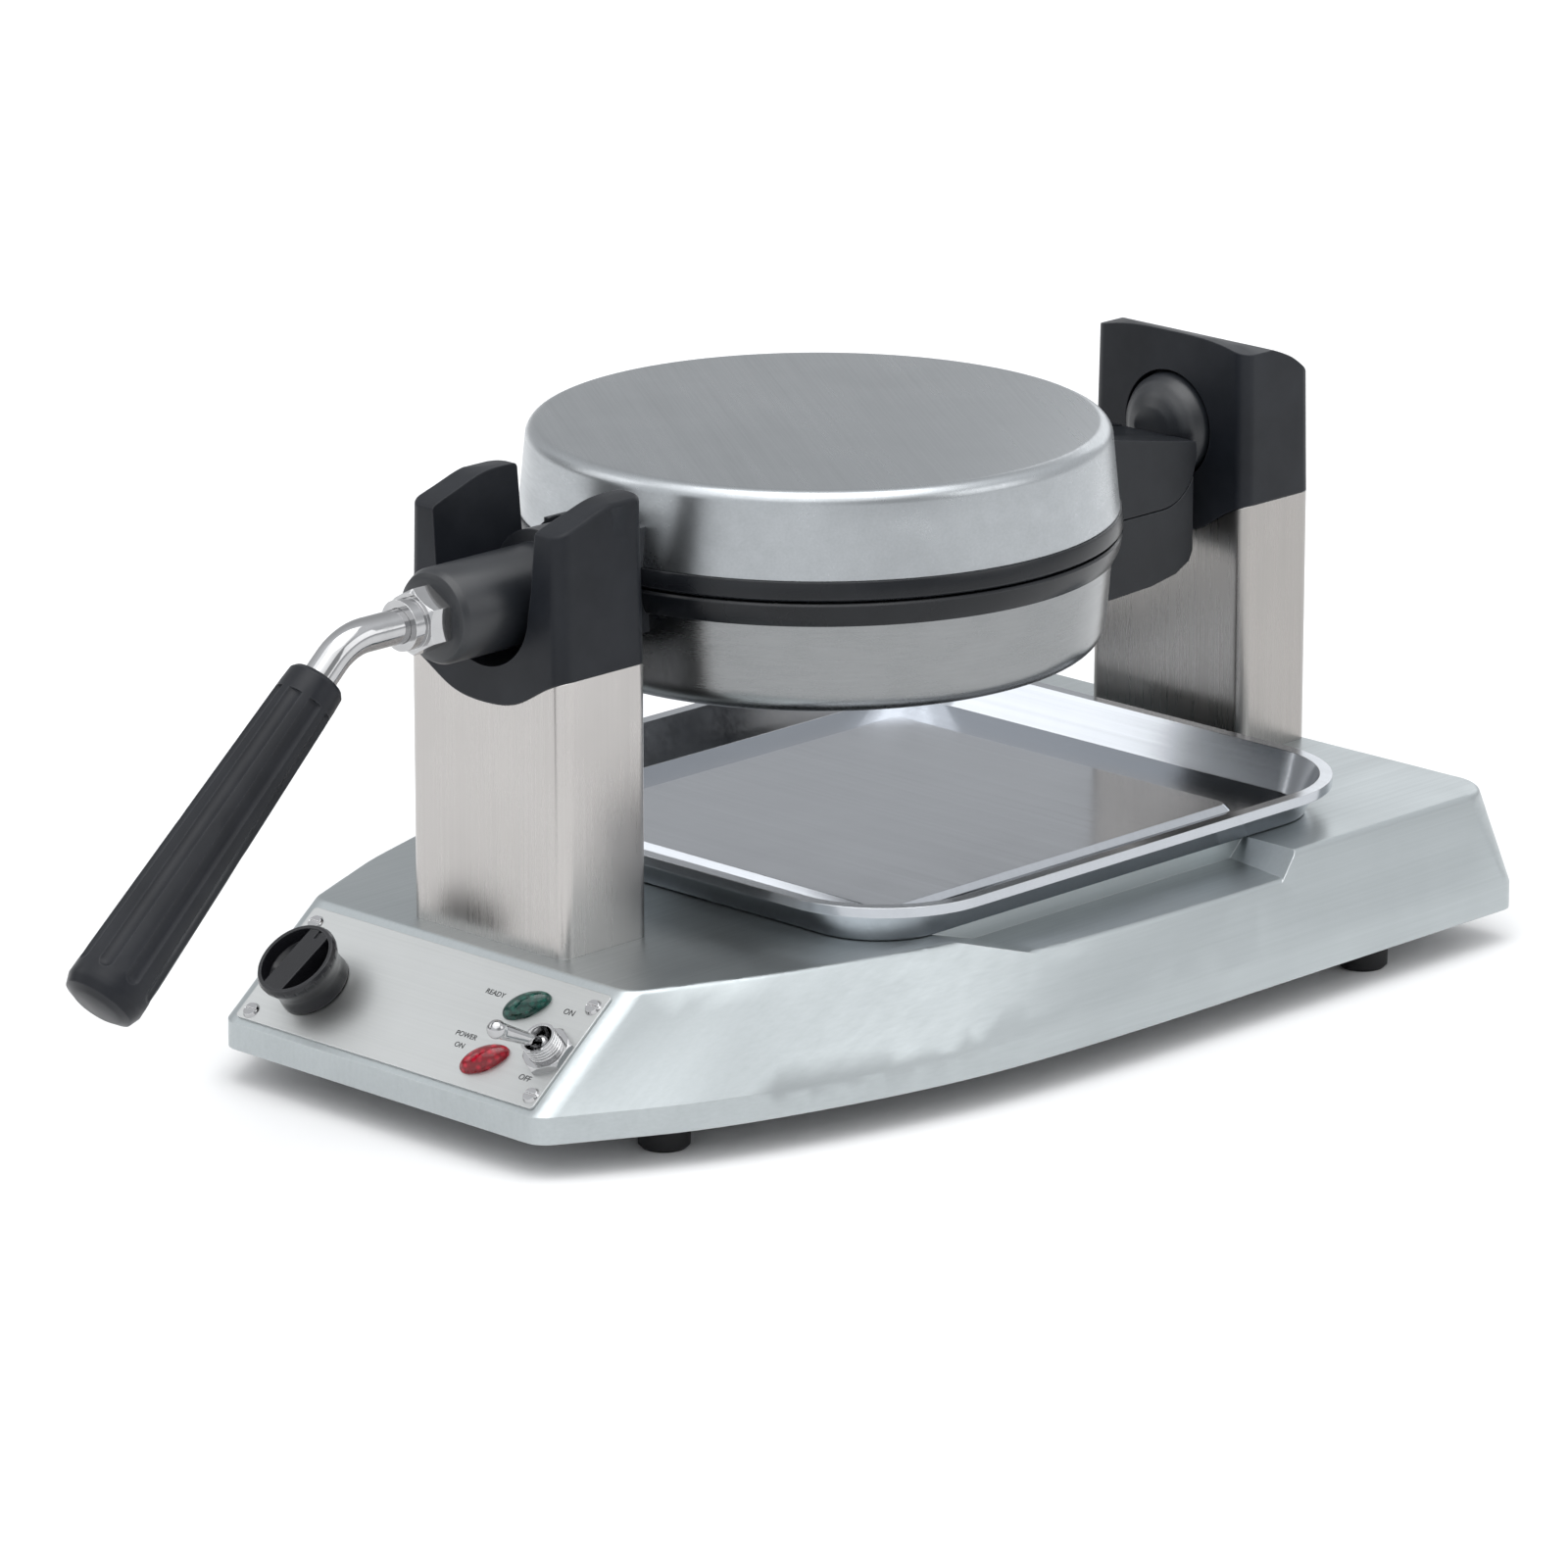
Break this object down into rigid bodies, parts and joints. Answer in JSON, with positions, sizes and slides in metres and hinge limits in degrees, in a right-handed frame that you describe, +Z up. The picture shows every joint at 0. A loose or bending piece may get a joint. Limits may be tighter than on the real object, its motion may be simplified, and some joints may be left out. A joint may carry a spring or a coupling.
{
  "type": "rotary waffle maker",
  "caption": "Countertop waffle maker with a round hinged drum that flips over between two posts, a side-drawn drip tray, heat knob, lamps and power toggle.",
  "frame": {"origin": "centre of the whole footprint, handle included, on the table plane", "axes": "+Z up, -Y towards the handle and control panel, +Y towards the hinge post, X across"},
  "size_m": [0.257, 0.541, 0.1997],
  "materials": {
    "stainless_brushed": "brushed along the length, satin",
    "steel_plated": "zinc plated sheet",
    "black_phenolic": "fine moulded texture, satin",
    "black_enamel": "semi-gloss black",
    "black_cast": "cast, fine-textured black coating",
    "cast_steel": "turned, zinc plated",
    "cast_aluminium": "dark non-stick coating on cast aluminium",
    "chrome": "bright plated",
    "steel_ground": "ground",
    "bronze": "oil-filled sintered bronze",
    "element_sheath": "heat-darkened sheath",
    "rubber_black": "matt",
    "nylon_black": "moulded",
    "lens_green": "translucent moulded lens",
    "lens_red": "translucent moulded lens"
  },
  "bodies": {
    "base": {"base_shell": "stainless_brushed", "base_pan": "steel_plated", "control_panel": "stainless_brushed", "foot_front_left": "rubber_black", "foot_front_right": "rubber_black", "foot_rear_left": "rubber_black", "foot_rear_right": "rubber_black", "panel_screw_1": "steel_plated", "panel_screw_2": "steel_plated", "panel_screw_3": "steel_plated", "panel_screw_4": "steel_plated", "lamp_green": "lens_green", "lamp_red": "lens_red", "lamp_socket_green": "nylon_black", "lamp_socket_red": "nylon_black", "toggle_bushing": "chrome", "toggle_nut": "chrome", "toggle_body": "nylon_black", "thermostat_body": "nylon_black", "terminal_block": "nylon_black", "cord_inlet": "nylon_black", "front_sleeve": "stainless_brushed", "rear_sleeve": "stainless_brushed", "front_strut": "steel_plated", "rear_strut": "steel_plated", "front_cap": "black_phenolic", "front_saddle": "bronze", "rear_cap": "black_phenolic", "rear_bushing": "bronze"},
    "lower_half": {"lower_shell": "stainless_brushed", "lower_ring": "black_enamel", "lower_plate": "cast_aluminium", "lower_grid": "cast_aluminium", "lower_element": "element_sheath", "lower_reflector": "steel_plated", "thermal_cutout": "nylon_black", "hinge_carrier": "black_cast", "rear_trunnion": "black_cast", "trunnion_collar": "cast_steel", "front_rest": "black_cast"},
    "lid": {"lid_shell": "stainless_brushed", "upper_ring": "black_enamel", "upper_plate": "cast_aluminium", "upper_grid": "cast_aluminium", "upper_element": "element_sheath", "upper_reflector": "steel_plated", "lid_hinge_arm": "black_cast", "hinge_pin": "steel_ground", "front_hub": "black_cast", "handle_nut": "chrome", "handle_tube": "chrome", "handle_grip": "black_phenolic"},
    "knob": {"knob": "black_phenolic", "knob_shaft": "steel_ground"},
    "toggle": {"toggle_lever": "chrome"},
    "tray": {"drip_tray": "stainless_brushed"}
  },
  "joints": [
    {"name": "drum_flip", "type": "hinge", "parent": "base", "child": "lower_half", "pos_m": [0, 0.0559, 0.1646], "axis": [0, -1, 0], "range_deg": [-180, 0]},
    {"name": "lid_hinge", "type": "hinge", "parent": "lower_half", "child": "lid", "pos_m": [0, 0.2009, 0.1606], "axis": [-1, 0, 0], "range_deg": [0, 95]},
    {"name": "knob_turn", "type": "hinge", "parent": "base", "child": "knob", "pos_m": [-0.0465, -0.12889, 0.03441], "axis": [0, 0.6259, -0.7799], "range_deg": [0, 270]},
    {"name": "toggle_tilt", "type": "hinge", "parent": "base", "child": "toggle", "pos_m": [0.0605, -0.13163, 0.0399], "axis": [-1, 0, 0], "range_deg": [0, 52]},
    {"name": "tray_slide", "type": "slide", "parent": "base", "child": "tray", "axis": [1, 0, 0], "range_m": [0, 0.245]}
  ]
}
